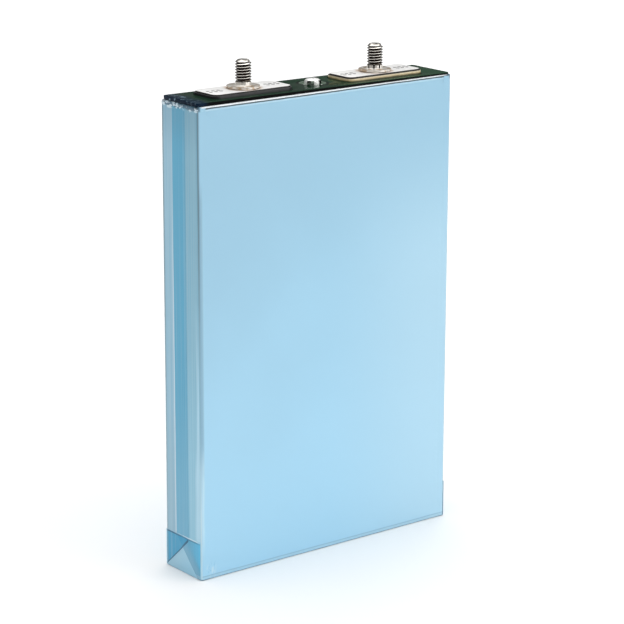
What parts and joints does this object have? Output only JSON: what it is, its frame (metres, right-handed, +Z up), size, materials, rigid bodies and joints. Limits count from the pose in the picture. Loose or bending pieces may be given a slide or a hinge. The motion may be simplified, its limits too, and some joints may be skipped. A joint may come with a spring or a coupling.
{
  "type": "prismatic battery cell",
  "caption": "Flat rectangular lithium cell in blue insulating film, with two threaded studs on insulated terminal plates and a centre vent on top.",
  "frame": {"origin": "on the floor, under the middle of the rectangular case", "axes": "+Z up towards the terminals, X along the wide face from the positive (-X) to the negative (+X) terminal, Y through the thin side"},
  "size_m": [0.117, 0.0226, 0.188],
  "materials": {
    "film": "translucent sky-blue polyester film, satin gloss, over aluminium",
    "cover_sheet": "green-black glossy plastic sheet with a fine grain",
    "aluminium": "plain rolled aluminium",
    "bright_aluminium": "bright fine-brushed aluminium",
    "stud_steel": "bright nickel-plated steel, warm grey",
    "copper": "plain copper",
    "dark_insulator": "black conductive moulded plastic",
    "amber_insulator": "amber translucent moulded plastic",
    "inner_plastic": "natural white polypropylene",
    "rubber": "black fluoro rubber",
    "electrode_roll": "white separator film, wound",
    "roll_tape": "green polyester tape"
  },
  "bodies": {
    "root": {"insulating_film": "film", "can": "aluminium", "lid_plate": "aluminium", "top_cover_sheet": "cover_sheet", "vent_cap": "bright_aluminium", "vent_burst_disc": "aluminium", "fill_port_plug": "rubber", "fill_port_cap": "aluminium", "insulating_bag": "inner_plastic", "bottom_pad": "inner_plastic", "front_jelly_roll": "electrode_roll", "rear_jelly_roll": "electrode_roll", "front_roll_tape": "roll_tape", "rear_roll_tape": "roll_tape", "positive_terminal_insulator": "dark_insulator", "negative_terminal_insulator": "amber_insulator", "positive_terminal_plate": "bright_aluminium", "negative_terminal_plate": "bright_aluminium", "positive_stud": "stud_steel", "negative_stud": "stud_steel", "positive_pole": "aluminium", "negative_pole": "copper", "positive_pole_seal": "rubber", "negative_pole_seal": "rubber", "positive_lower_insulator": "inner_plastic", "negative_lower_insulator": "inner_plastic", "positive_collector": "aluminium", "negative_collector": "copper", "front_positive_tab": "aluminium", "rear_positive_tab": "aluminium", "front_negative_tab": "copper", "rear_negative_tab": "copper"}
  },
  "joints": []
}
